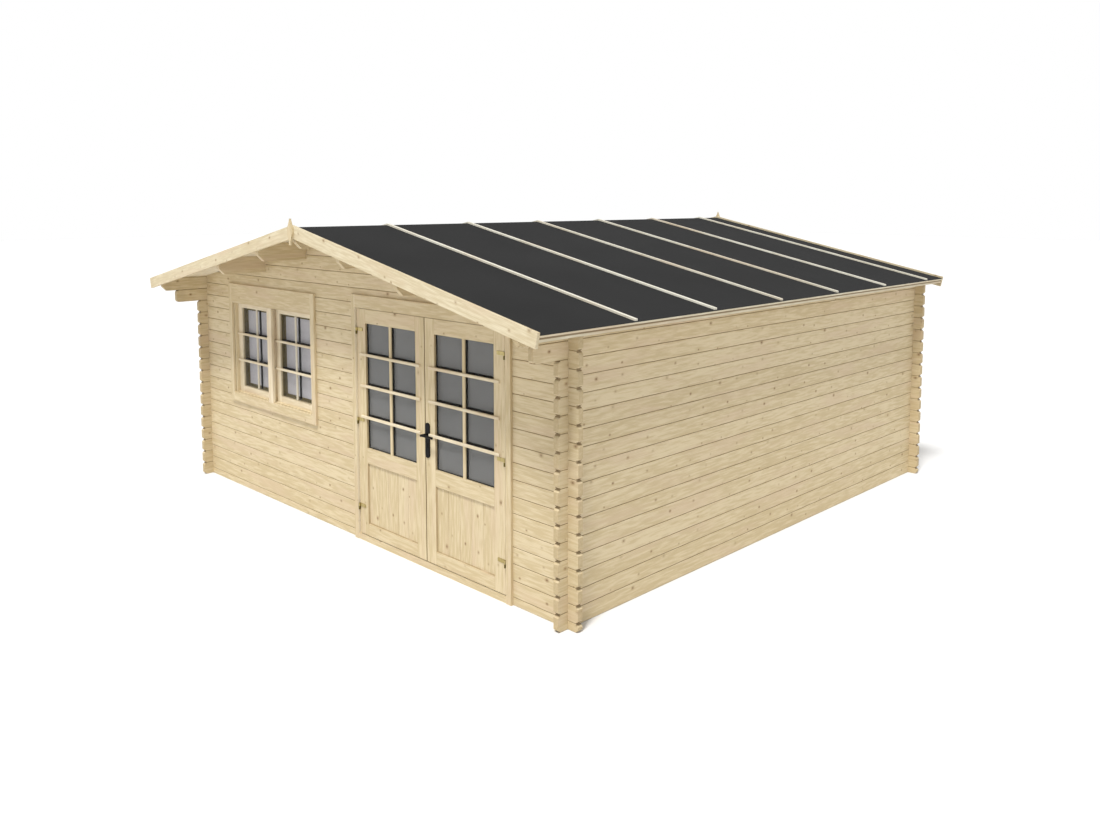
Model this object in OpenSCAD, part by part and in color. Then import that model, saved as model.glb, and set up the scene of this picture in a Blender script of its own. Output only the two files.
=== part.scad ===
// Log cabin with a double door, a double window and a low felted roof, in millimetres.
// Origin at the middle of the plan on the ground; the front wall faces -Y and the side walls face X.

/* [Walls] */
// Width of the walls over their outer faces
wall_x = 4840; // [3000:10:7000]
// Depth of the walls over their outer faces
wall_y = 4840; // [3000:10:7000]
// Height that one log covers
log_h = 113; // [80:1:160]
// Thickness of a log
log_t = 40; // [28:1:70]
// Full logs in a side wall
side_courses = 17; // [12:1:24]
// Length of a log end past the crossing wall
log_end = 86; // [60:1:150]
// Cut at the corners of a log end
end_cut = 20; // [8:1:30]
// Small bevel along the edges of a log
edge_bevel = 4; // [2:0.5:8]
// Play between two logs
log_play = 0.4; // [0.2:0.1:1]
// Height of the tongue on a log
tongue_h = 8; // [5:1:14]
// Width of the tongue on a log
tongue_w = 12; // [8:1:18]

/* [Floor] */
// Thickness of the floor boards
floor_t = 18; // [15:1:32]
// Bearers under the floor
bearers = 7; // [3:1:11]
// Width of a bearer
bearer_w = 60; // [40:1:100]

/* [Roof] */
// Pitch of the roof in degrees
pitch = 11.8; // [8:0.1:25]
// Front face of the front barge boards ahead of the wall
front_overhang = 446; // [350:2:700]
// Back face of the rear barge boards behind the wall
rear_overhang = 150; // [120:2:400]
// Outer edge of the eave past the wall
eave_overhang = 191; // [120:1:350]
// Thickness of the roof boards
deck_t = 18; // [15:1:28]
// Thickness of the roof felt
felt_t = 3; // [2:0.5:6]
// Thickness of a barge board
barge_t = 22; // [16:1:30]
// Upright height of a barge board
barge_h = 97; // [70:1:160]
// Height of a barge board over the felt
barge_rise = 15; // [5:1:30]
// Thickness of a purlin
purlin_t = 42; // [35:1:70]
// Height of a purlin
purlin_h = 140; // [100:5:200]
// First purlin from the ridge
purlin_x1 = 575; // [400:5:800]
// Second purlin from the ridge
purlin_x2 = 1257; // [900:5:1700]
// Cut at the lower corner of a purlin's end
purlin_cut = 50; // [20:1:90]
// Battens on each slope
battens = 6; // [3:1:9]
// Width of a batten
batten_w = 26; // [18:1:40]
// Height of a batten
batten_h = 13; // [8:1:22]
// Reach of the second log from the top ahead of the front wall
corbel_l = 296; // [150:1:400]
// Rounding of that log's front end
corbel_r = 26; // [10:1:40]
// Thickness of the strip on the edge of the roof boards
eave_t = 15; // [10:1:20]
// Height of that strip
eave_h = 12; // [8:1:18]
// Height and width of the strip under the edge of the roof boards
eave_low_h = 25; // [15:1:40]
// Width of the shaped board at the ridge
finial_w = 70; // [40:1:90]
// Height of the shaped board at the ridge
finial_h = 198; // [140:1:300]
// Thickness of the shaped board at the ridge
finial_t = 18; // [12:1:28]

/* [Window] */
// Middle of the window from the left wall's outer face
window_side = 1253; // [1000:1:1500]
// Width of the window over its casing
window_w = 1470; // [900:1:1600]
// Logs under the window
window_sill_courses = 7; // [4:1:10]
// Depth of the window frame
window_depth = 89; // [70:1:120]
// Width of a side casing of the window
window_side_w = 58; // [35:1:90]
// Height of the upper casing
window_head_w = 94; // [60:1:120]
// Height of the board under the upper casing
window_drop_w = 82; // [40:1:110]
// Height of the lower casing
window_sill_w = 79; // [60:1:110]
// Part of the frame that shows beside the sashes
frame_show = 20; // [8:1:40]
// Width of the upright cover between the sashes
mullion_w = 75; // [50:1:100]
// Thickness of the mullion
mullion_t = 30; // [20:1:45]
// Width of a sash stile
sash_w = 70; // [45:1:90]
// Height of a sash rail
sash_h = 52; // [40:1:90]
// Thickness of a sash
sash_t = 54; // [35:1:60]
// Front of the sashes behind the wall's outer face
sash_set = 32; // [10:1:34]

/* [Door] */
// Middle of the door from the right wall's outer face
door_side = 1401; // [1150:1:1500]
// Width of one door leaf
leaf_w = 838; // [600:1:900]
// Height of the door frame's head over the leaves
door_head_t = 40.5; // [30:0.5:60]
// Lower edge of the door leaves
leaf_base = 52; // [48:1:70]
// Thickness of a door leaf
leaf_t = 40; // [35:1:50]
// Width of a stile of a door leaf
stile_w = 107; // [80:1:130]
// Height of the lower rail
lower_rail = 95; // [70:1:140]
// Height of the panel between the lower and the middle rail
panel_h = 480; // [300:5:700]
// Height of the middle rail
middle_rail = 120; // [80:1:160]
// Height of the upper rail
upper_rail = 108; // [70:1:140]
// Thickness of the panel
panel_t = 20; // [12:1:22]
// Depth of the panel's face behind the face of the leaf
panel_set = 12; // [6:1:14]
// Thickness of a pane
pane_t = 4; // [3:1:6]
// Depth of the door frame
door_depth = 86; // [75:1:120]
// Thickness of a jamb
jamb_t = 36; // [28:1:50]
// Width of a side casing of the door
casing_w = 49; // [40:1:90]
// Height of the casing over the door
door_head_w = 100; // [60:1:104]
// Thickness of a casing
casing_t = 20; // [12:1:28]

/* [Hinges and handle] */
// Lowest hinge over the lower edge of the leaf
hinge_low = 214; // [120:1:300]
// Middle hinge as a share of the leaf's height
hinge_share = 0.506; // [0.4:0.002:0.6]
// Highest hinge under the upper edge of the leaf
hinge_high = 172; // [120:1:300]
// Height of one half of a hinge
hinge_h = 25; // [18:1:40]
// Radius of the hinge barrel
barrel_r = 7; // [5:0.5:7.5]
// Radius of the hinge pin
pin_r = 3.2; // [2:0.1:4]
// Length of the hinge plate on the leaf
hinge_l = 76; // [30:1:90]
// Height of the door handle
handle_z = 992; // [900:1:1100]
// Length of the lever
lever_l = 118; // [90:1:140]
// Thickness of the lever and its neck
lever_d = 18; // [14:1:20]
// Reach of the lever from the face of the leaf
lever_out = 66; // [50:1:80]
// Width of the handle plate
plate_w = 48; // [34:1:56]
// Height of the handle plate
plate_h = 254; // [180:1:280]
// Part of the plate over the lever
plate_over = 82; // [50:1:120]
// Thickness of the handle plate
plate_t = 8; // [4:1:10]

/* [Hidden] */
$fn = 48;

wood = [0.87, 0.78, 0.6];
felt_grey = [0.25, 0.25, 0.26];
pane_grey = [0.5, 0.5, 0.5];
brass = [0.75, 0.6, 0.3];
black = [0.08, 0.08, 0.08];
fit = 0.3;
hx = wall_x / 2;
hy = wall_y / 2;
front_mid = -hy + log_t / 2;
back_mid = hy - log_t / 2;
side_mid = hx - log_t / 2;
slope = tan(pitch);
wall_top = side_courses * log_h;
open_top = (side_courses - 0.5) * log_h;
ridge_z = wall_top + hx * slope;
deck_v = deck_t / cos(pitch);
felt_v = felt_t / cos(pitch);
eave_x = hx + eave_overhang;
deck_x = eave_x - eave_t - 1;
front_y = -hy - front_overhang;
rear_y = hy + rear_overhang;
roof_front = front_y + barge_t;
roof_rear = rear_y - barge_t;
barge_top = ridge_z + deck_v + felt_v + barge_rise;
window_x = -hx + window_side;
door_x = hx - door_side;
leaf_gap = 5;
leaf_out = 8;
leaf_top = open_top - door_head_t;
door_half = leaf_w + leaf_gap / 2;
jamb_in = door_half + leaf_gap;
jamb_out = jamb_in + jamb_t;
case_in = door_half + 2 * leaf_out;
case_out = case_in + casing_w;
inner_casing_t = 19.5;
floor_top = log_h / 2;

// Height of the underside of the roof boards
function roof_z(x) = ridge_z - abs(x) * slope;

// A box between two corners
module box(x0, x1, y0, y1, z0, z1) {
    translate([x0, y0, z0]) cube([x1 - x0, y1 - y0, z1 - z0]);
}

// A box on the front wall: its X range, how far it stands out of the wall's outer face, and its Z range
module front_box(x0, x1, d0, d1, z0, z1) {
    box(x0, x1, -hy - d1, -hy - d0, z0, z1);
}

// Outline in X and Z drawn out between two Y planes
module along_y(y0, y1) {
    translate([0, y1, 0]) rotate([90, 0, 0]) linear_extrude(y1 - y0) children();
}

// Outline in Y and Z drawn out between two X planes
module along_x(x0, x1) {
    translate([x0, 0, 0]) rotate([90, 0, 90]) linear_extrude(x1 - x0) children();
}

// A piece and its mirror image about X = 0
module both_sides() {
    for (m = [0, 1]) mirror([m, 0, 0]) children();
}

// Section of a log: bevelled edges, tongue above and groove below
module log_section(z0, z1, tongue) {
    h = log_t / 2;
    b = edge_bevel;
    w = tongue_w / 2;
    g = w + log_play;
    top = z1 - log_play / 2;
    low = z0 + log_play / 2;
    deep = low + tongue_h + log_play;
    groove = z0 > 0 ? [[-g, low], [-g, deep], [g, deep], [g, low]] : [];
    rib = tongue ? [[w, top], [w, top + tongue_h], [-w, top + tongue_h], [-w, top]] : [];
    lower = concat([[-h, low + b], [-h + b, low]], groove, [[h - b, low], [h, low + b]]);
    upper = concat([[h, top - b], [h - b, top]], rib, [[-h + b, top], [-h, top - b]]);
    polygon(concat(lower, upper));
}

// Side view of a log from a to b: free ends have cut corners, and each crossing wall has a quarter notch
// above and below. A crest adds height over the upper notch.
module log_side(a, b, z0, z1, free_a, free_b, cross, crest = 0) {
    r = tongue_h + 1;
    q = log_h / 4 + log_play / 2;
    top = z1 + crest;
    whole = z1 - z0 > 0.75 * log_h;
    end_a = free_a ? [[a, top - end_cut], [a, z0 + end_cut], [a + end_cut + r, z0 - r]] : [[a, z0]];
    end_b = free_b ? [[b - end_cut - r, z0 - r], [b, z0 + end_cut], [b, top - end_cut]] : [[b, z0]];
    top_b = free_b ? b - end_cut - r : b;
    top_a = free_a ? a + end_cut + r : a;
    difference() {
        polygon(concat(end_a, end_b, [[top_b, top + r], [top_a, top + r]]));
        for (s = cross) translate([s - log_t / 2 - log_play, 0]) {
            translate([0, z1 - q]) square([log_t + 2 * log_play, q + crest + r + 1]);
            if (whole) translate([0, z0 - r - 1]) square([log_t + 2 * log_play, q + r + 1]);
        }
    }
}

// One log of a front or back wall, along X
module log_x(y, a, b, z0, z1, free_a, free_b, tongue = true) {
    cross = concat(free_a ? [-side_mid] : [], free_b ? [side_mid] : []);
    intersection() {
        translate([0, y, 0]) along_x(a, b) log_section(z0, z1, tongue);
        along_y(y - log_t, y + log_t) log_side(a, b, z0, z1, free_a, free_b, cross);
    }
}

// Outline under the roof, out to the eaves
module under_roof() {
    polygon([[-eave_x, 0], [eave_x, 0], [eave_x, roof_z(eave_x) - fit], [0, ridge_z - fit],
        [-eave_x, roof_z(eave_x) - fit]]);
}

// Places of the purlins across the roof
purlins = [-purlin_x2, -purlin_x1, 0, purlin_x1, purlin_x2];
function purlin_base(x) = roof_z(x) - purlin_h;

// Logs over the door head, cut to the roof and notched for the purlins
module gable(y) {
    rows = ceil((ridge_z - open_top) / log_h) - 1;
    difference() {
        intersection() {
            for (k = [0 : rows]) {
                z0 = open_top + k * log_h;
                log_x(y, -hx - log_end, hx + log_end, z0, z0 + log_h, k == 0, k == 0, k < rows);
            }
            along_y(y - log_t, y + log_t) under_roof();
        }
        for (x = purlins) along_y(y - log_t, y + log_t)
            translate([x - purlin_t / 2 - log_play, purlin_base(x) - log_play])
                square([purlin_t + 2 * log_play, 2 * purlin_h]);
    }
}

// Edges of the openings in the front wall
window_half = window_w / 2;
window_lap = 32;
window_left = window_x - window_half + window_lap;
window_right = window_x + window_half - window_lap;
door_left = door_x - jamb_out;
door_right = door_x + jamb_out;
window_base = (window_sill_courses + 0.5) * log_h;

// Front wall beside the window and under it
module front_logs_left() color(wood) {
    log_x(front_mid, -hx - log_end, door_left, 0, log_h / 2, true, false);
    for (k = [1 : side_courses - 1]) {
        z0 = (k - 0.5) * log_h;
        b = k <= window_sill_courses ? door_left : window_left;
        log_x(front_mid, -hx - log_end, b, z0, z0 + log_h, true, false);
    }
}

// Front wall between the window and the door
module front_logs_middle() color(wood) {
    for (k = [window_sill_courses + 1 : side_courses - 1]) {
        z0 = (k - 0.5) * log_h;
        log_x(front_mid, window_right, door_left, z0, z0 + log_h, false, false);
    }
}

// Front wall past the door
module front_logs_right() color(wood) {
    log_x(front_mid, door_right, hx + log_end, 0, log_h / 2, false, true);
    for (k = [1 : side_courses - 1]) {
        z0 = (k - 0.5) * log_h;
        log_x(front_mid, door_right, hx + log_end, z0, z0 + log_h, false, true);
    }
}

// Back wall, closed
module back_wall_logs() color(wood) {
    log_x(back_mid, -hx - log_end, hx + log_end, 0, log_h / 2, true, true);
    for (k = [1 : side_courses - 1]) {
        z0 = (k - 0.5) * log_h;
        log_x(back_mid, -hx - log_end, hx + log_end, z0, z0 + log_h, true, true);
    }
}

module front_gable_logs() color(wood) gable(front_mid);
module back_gable_logs() color(wood) gable(back_mid);

// Front ends of the two top logs of a side wall, which reach forward under the roof
side_cross = [front_mid, back_mid];
module lower_corbel(z0, z1) {
    f = -hy - corbel_l;
    r = corbel_r;
    difference() {
        log_side(f, hy + log_end, z0, z1, false, true, side_cross);
        difference() {
            translate([f - 1, z0 - r]) square([r + 1, z1 - z0 + 2 * r]);
            translate([f, z0 + r]) square([r + 1, z1 - z0 - 2 * r]);
            translate([f + r, z0 + r]) circle(r);
            translate([f + r, z1 - r]) circle(r);
        }
    }
}
module upper_corbel(z0, z1) {
    f = roof_front + fit;
    cut = 2 * end_cut + 1;
    difference() {
        log_side(f, hy + log_end, z0, z1, false, true, side_cross, log_t);
        polygon([[f - 1, z0 - 1], [f + cut, z0 - 1], [f - 1, z0 + cut]]);
    }
}

// Side wall of full logs, the right one; the left one is its mirror image
module side_wall() {
    for (k = [0 : side_courses - 1]) {
        z0 = k * log_h;
        z1 = z0 + log_h;
        last = k == side_courses - 1;
        section_top = last ? z1 + log_t : z1;
        intersection() {
            translate([side_mid, 0, 0]) along_y(front_y, rear_y) log_section(z0, section_top, !last);
            along_x(side_mid - log_t, side_mid + log_t) {
                if (last) upper_corbel(z0, z1);
                else if (k == side_courses - 2) lower_corbel(z0, z1);
                else log_side(-hy - log_end, hy + log_end, z0, z1, true, true, side_cross);
            }
            if (last) along_y(front_y, rear_y) under_roof();
        }
    }
}
module right_wall_logs() color(wood) side_wall();
module left_wall_logs() color(wood) mirror([1, 0, 0]) side_wall();

// Bearers that lie on the ground and carry the floor
module floor_bearers() color(wood) {
    reach = hx - log_t - 2 * fit;
    first = -hy + door_depth + bearer_w / 2 + 1;
    step = (hy - log_t - bearer_w - first) / (bearers - 1);
    for (i = [0 : bearers - 1]) {
        y = first + i * step;
        box(-reach, reach, y - bearer_w / 2, y + bearer_w / 2, 0, floor_top - floor_t);
    }
}

// Floor between the walls, cut out round the door frame
module floor_boards() color(wood) {
    reach_x = hx - log_t - 2 * fit;
    reach_y = hy - log_t - 2 * fit;
    difference() {
        box(-reach_x, reach_x, -reach_y, reach_y, floor_top - floor_t, floor_top);
        translate([door_x, 0, 0]) front_box(-jamb_out, jamb_out, -door_depth - fit, 0, 0, floor_top + 1);
    }
}

// Purlins: the top follows the roof and the lower corners of both ends are cut
module purlin(x) {
    base = purlin_base(x);
    a = roof_front + fit;
    b = roof_rear - fit;
    intersection() {
        along_y(a, b) under_roof();
        along_x(x - purlin_t / 2, x + purlin_t / 2) polygon([[a, base + purlin_cut], [a + purlin_cut, base],
            [b - purlin_cut, base], [b, base + purlin_cut], [b, ridge_z], [a, ridge_z]]);
    }
}
module ridge_purlin() color(wood) purlin(0);
module side_purlins() color(wood) {
    for (x = purlins) if (x != 0) purlin(x);
}

// A band that follows the right slope from x0 to x1, between two heights over the underside of the boards
module slope_band(x0, x1, v0, v1) {
    polygon([[x0, roof_z(x0) + v0], [x1, roof_z(x1) + v0], [x1, roof_z(x1) + v1], [x0, roof_z(x0) + v1]]);
}

module deck() along_y(roof_front + fit, roof_rear - fit) slope_band(fit, deck_x, 0, deck_v);
module roof_boards_right() color(wood) deck();
module roof_boards_left() color(wood) mirror([1, 0, 0]) deck();

module felt() along_y(roof_front + fit, roof_rear - fit) slope_band(fit, eave_x, deck_v, deck_v + felt_v);
module roof_felt_right() color(felt_grey) felt();
module roof_felt_left() color(felt_grey) mirror([1, 0, 0]) felt();

// Battens that hold the felt, evenly spaced
module batten_set() {
    step = (roof_rear - roof_front) / (battens + 0.38);
    v = deck_v + felt_v;
    for (i = [1 : battens]) {
        y = roof_front + i * step;
        along_y(y - batten_w / 2, y + batten_w / 2) slope_band(fit, eave_x - batten_h, v, v + batten_h);
    }
}
module roof_battens_right() color(wood) batten_set();
module roof_battens_left() color(wood) mirror([1, 0, 0]) batten_set();

// Strip along the eave: its top follows the slope at height v over the underside, its base is level
module eave_strip(x0, x1, v, height) {
    base = roof_z(x1) + v - height;
    along_y(roof_front + fit, roof_rear - fit)
        polygon([[x0, roof_z(x0) + v], [x1, roof_z(x1) + v], [x1, base], [x0, base]]);
}

// Strip on the edge of the boards, under the felt, and a deeper one under the boards
module eave_set() {
    eave_strip(deck_x + fit, eave_x - 1, deck_v - fit, eave_h);
    eave_strip(deck_x - eave_low_h, deck_x, -fit, eave_low_h);
}
module eave_strips_right() color(wood) eave_set();
module eave_strips_left() color(wood) mirror([1, 0, 0]) eave_set();

// Barge boards, square cut at the eave and upright at the ridge
module barge_pair(y0, y1) {
    e = eave_x;
    s = e - barge_h * slope / (1 + slope * slope);
    both_sides() along_y(y0, y1) polygon([[fit, barge_top - fit * slope], [e, barge_top - e * slope],
        [s, barge_top - barge_h - s * slope], [fit, barge_top - barge_h - fit * slope]]);
}
module front_barge_boards() color(wood) barge_pair(front_y, roof_front);
module rear_barge_boards() color(wood) barge_pair(roof_rear, rear_y);

// Shaped board over the joint of two barge boards: a leaf on a foot, its half width a power of a sine
finial_steps = 20;
finial_foot = finial_w / 7;
function finial_half(t) = max(finial_w / 2 * pow(sin(180 * t), 1.6), t < 0.15 ? finial_foot : 0);
module finial(y0, y1) {
    side = [for (i = [0 : finial_steps]) [finial_half(i / finial_steps), i * finial_h / finial_steps]];
    other = [for (i = [finial_steps - 1 : -1 : 0]) [-side[i][0], side[i][1]]];
    along_y(y0, y1) translate([0, barge_top - 0.75 * finial_h]) polygon(concat(side, other));
}
module front_finial() color(wood) finial(front_y - finial_t, front_y);
module rear_finial() color(wood) finial(rear_y, rear_y + finial_t);

// Window: frame in the wall, casing over the joint, mullion, and two fixed sashes
sill_lap = 44;
head_lap = 25;
casing_low = window_base - sill_lap;
casing_high = open_top + head_lap;
drop_low = casing_high - window_head_w - window_drop_w;
frame_in = window_half - window_side_w - frame_show;
frame_out = window_half - window_lap - 1;
frame_base = window_base + tongue_h + 2 * fit;
frame_low = casing_low + window_sill_w + frame_show / 3;
frame_top = drop_low + frame_show / 2;
frame_set = 3;
module window_frame() color(wood) translate([window_x, 0, 0]) {
    d0 = -window_depth - frame_set;
    both_sides() front_box(frame_in, frame_out, d0, -frame_set, frame_base, open_top - 1);
    front_box(-frame_in + fit, frame_in - fit, d0, -frame_set, frame_base, frame_low);
    front_box(-frame_in + fit, frame_in - fit, d0, -frame_set, frame_top, open_top - 1);
}
module window_casing() color(wood) translate([window_x, 0, 0]) {
    side_in = window_half - window_side_w;
    reach = side_in - fit;
    drop_top = casing_high - window_head_w - fit;
    inside = -window_depth - frame_set - fit;
    back = inside - inner_casing_t;
    both_sides() front_box(side_in, window_half, fit, casing_t, casing_low, casing_high);
    front_box(-reach, reach, fit, casing_t, casing_low, casing_low + window_sill_w);
    front_box(-reach, reach, fit, casing_t, casing_high - window_head_w, casing_high);
    front_box(-reach, reach, fit - frame_set, casing_t - frame_set, drop_low, drop_top);
    both_sides() front_box(frame_in + fit, window_half, back, inside, frame_base, open_top);
}
module window_mullion() color(wood) translate([window_x, 0, 0]) {
    m = mullion_t / 2;
    c = mullion_w / 2;
    front_box(-m, m, -window_depth - frame_set, -frame_set, frame_low + fit, frame_top - fit);
    front_box(-c, c, fit - frame_set, casing_t, casing_low + window_sill_w + fit, drop_low - fit);
}
sash_a = mullion_t / 2 + fit;
sash_b = frame_in - fit;
module sash() {
    d0 = -sash_set - sash_t;
    z0 = frame_low + fit;
    z1 = frame_top - fit;
    a = sash_a + sash_w + fit;
    b = sash_b - sash_w - fit;
    front_box(sash_a, a - fit, d0, -sash_set, z0, z1);
    front_box(b + fit, sash_b, d0, -sash_set, z0, z1);
    front_box(a, b, d0, -sash_set, z0, z0 + sash_h);
    front_box(a, b, d0, -sash_set, z1 - sash_h, z1);
}
module window_sash_right() color(wood) translate([window_x, 0, 0]) sash();
module window_sash_left() color(wood) translate([window_x, 0, 0]) mirror([1, 0, 0]) sash();
module window_glass() color(pane_grey) translate([window_x, 0, 0]) {
    d1 = -sash_set - pane_t;
    z0 = frame_low + sash_h + 2 * fit;
    z1 = frame_top - sash_h - 2 * fit;
    both_sides() front_box(sash_a + sash_w + fit, sash_b - sash_w - fit, d1 - pane_t, d1, z0, z1);
}

// Door: frame in the wall, casing, threshold, and two leaves that open outwards
module door_frame() color(wood) translate([door_x, 0, 0]) {
    reach = jamb_in - fit;
    both_sides() front_box(jamb_in, jamb_out - fit, -door_depth, 0, 0, open_top - 1);
    front_box(-reach, reach, -door_depth, 0, leaf_top + leaf_gap, open_top - 1);
    front_box(-reach, reach, -door_depth, leaf_out - leaf_t - leaf_gap, leaf_top - 3 * leaf_gap,
        leaf_top + leaf_gap - fit);
}
module door_casing() color(wood) translate([door_x, 0, 0]) {
    low = leaf_top + leaf_gap + 1;
    high = low + door_head_w;
    inside = -door_depth - fit;
    both_sides() front_box(case_in, case_out, fit, casing_t, 0, high);
    front_box(-case_in + fit, case_in - fit, fit, casing_t, low, high);
    both_sides() front_box(jamb_in + 2, case_out, inside - inner_casing_t, inside, floor_top + fit, open_top);
}
module door_threshold() color(wood) translate([door_x, 0, 0]) {
    front_box(-jamb_in + fit, jamb_in - fit, -door_depth, 0, 0, leaf_base - leaf_gap);
    front_box(-case_in + fit, case_in - fit, fit, casing_t - leaf_gap, 0, leaf_base - leaf_gap - 1);
}

// Frame side of the hinges: plate on the jamb, lower barrel and pin
pin_x = door_half + 3;
pin_out = 2 * leaf_out;
hinge_z = [leaf_base + hinge_low, leaf_base + hinge_share * (leaf_top - leaf_base), leaf_top - hinge_high];
module door_hinge_pins() color(brass) translate([door_x, 0, 0]) {
    both_sides() for (z = hinge_z) translate([pin_x, -hy - pin_out, z - hinge_h - 1]) {
        cylinder(r = barrel_r, h = hinge_h);
        cylinder(r = pin_r, h = 2 * hinge_h - 2);
        cube([barrel_r + leaf_gap, pin_out - fit, hinge_h]);
    }
}

// One leaf, its hinged edge at +X; the left leaf is its mirror image
leaf_a = leaf_gap / 2;
leaf_b = door_half;
leaf_back = leaf_out - leaf_t;
rail_a = leaf_a + stile_w + fit;
rail_b = leaf_b - stile_w - fit;
panel_low = leaf_base + lower_rail;
panel_high = panel_low + panel_h;
light_low = panel_high + middle_rail;
light_high = leaf_top - upper_rail;
module leaf_frame() {
    front_box(leaf_a, leaf_a + stile_w, leaf_back, leaf_out, leaf_base, leaf_top);
    front_box(leaf_b - stile_w, leaf_b, leaf_back, leaf_out, leaf_base, leaf_top);
    front_box(rail_a, rail_b, leaf_back, leaf_out, leaf_base, panel_low);
    front_box(rail_a, rail_b, leaf_back, leaf_out, panel_high, light_low);
    front_box(rail_a, rail_b, leaf_back, leaf_out, light_high, leaf_top);
}
module leaf_panel() {
    d1 = leaf_out - panel_set;
    front_box(rail_a, rail_b, d1 - panel_t, d1, panel_low + fit, panel_high - fit);
}
module leaf_glass() {
    d1 = leaf_out - 3 * pane_t;
    front_box(rail_a, rail_b, d1 - pane_t, d1, light_low + fit, light_high - fit);
}

// Leaf side of the hinges: plate on the leaf and upper barrel
module leaf_hinges() {
    plate_y = barrel_r / 2;
    for (z = hinge_z) translate([pin_x, -hy - pin_out, z]) difference() {
        union() {
            cylinder(r = barrel_r, h = hinge_h);
            translate([-hinge_l, plate_y, 0]) cube([hinge_l, pin_out - leaf_out - plate_y - fit, hinge_h]);
        }
        translate([0, 0, -1]) cylinder(r = pin_r + fit, h = hinge_h + 2);
    }
}

// A round bore through the right leaf for the handle's neck
lever_x = door_x + leaf_a + plate_w / 2 + 1;
module handle_bore(r, d0, d1) {
    translate([lever_x, -hy - d1 - 1, handle_z]) rotate([-90, 0, 0]) cylinder(r = r, h = d1 - d0 + 2);
}

module left_door_frame() color(wood) translate([door_x, 0, 0]) mirror([1, 0, 0]) leaf_frame();
module left_door_panel() color(wood) translate([door_x, 0, 0]) mirror([1, 0, 0]) leaf_panel();
module left_door_glass() color(pane_grey) translate([door_x, 0, 0]) mirror([1, 0, 0]) leaf_glass();
module left_door_hinges() color(brass) translate([door_x, 0, 0]) mirror([1, 0, 0]) leaf_hinges();
module right_door_frame() color(wood) difference() {
    translate([door_x, 0, 0]) leaf_frame();
    handle_bore(lever_d / 2 + 5 * fit, leaf_back, leaf_out);
}
module right_door_panel() color(wood) translate([door_x, 0, 0]) leaf_panel();
module right_door_glass() color(pane_grey) translate([door_x, 0, 0]) leaf_glass();
module right_door_hinges() color(brass) translate([door_x, 0, 0]) leaf_hinges();

// Handle: a long plate on each face, and one neck with a round lever at both ends
module plate(d0, d1) {
    r = plate_w / 2;
    high = handle_z + plate_over;
    difference() {
        along_y(-hy - d1, -hy - d0) translate([lever_x, high - plate_h]) {
            translate([-r, r]) square([plate_w, plate_h - plate_w]);
            translate([0, r]) circle(r);
            translate([0, plate_h - r]) circle(r);
        }
        handle_bore(lever_d / 2 + 1.5 * fit, d0, d1);
    }
}
module door_handle_plates() color(black) {
    plate(leaf_out, leaf_out + plate_t);
    plate(leaf_back - plate_t, leaf_back);
}
module door_levers() color(black) {
    r = lever_d / 2;
    f = leaf_out + lever_out;
    g = leaf_back - lever_out;
    translate([lever_x, -hy - f, handle_z]) rotate([-90, 0, 0]) cylinder(r = r, h = f - g);
    for (d = [f - r, g + r]) {
        translate([lever_x, -hy - d, handle_z]) rotate([0, 90, 0]) cylinder(r = r, h = lever_l);
    }
}

front_logs_left();
front_logs_middle();
front_logs_right();
front_gable_logs();
back_wall_logs();
back_gable_logs();
left_wall_logs();
right_wall_logs();
floor_bearers();
floor_boards();
ridge_purlin();
side_purlins();
roof_boards_left();
roof_boards_right();
roof_felt_left();
roof_felt_right();
roof_battens_left();
roof_battens_right();
eave_strips_left();
eave_strips_right();
front_barge_boards();
rear_barge_boards();
front_finial();
rear_finial();
window_frame();
window_casing();
window_mullion();
window_sash_left();
window_sash_right();
window_glass();
door_frame();
door_casing();
door_threshold();
door_hinge_pins();
left_door_frame();
left_door_panel();
left_door_glass();
left_door_hinges();
right_door_frame();
right_door_panel();
right_door_glass();
right_door_hinges();
door_handle_plates();
door_levers();
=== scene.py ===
"""Log cabin of notched spruce logs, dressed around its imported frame.

The sections follow the order in which the cabin is put up: walls, floor, roof, window, doors, studio.
Everything is in metres, with the front wall facing -Y and the ground at height 0.
"""

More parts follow.
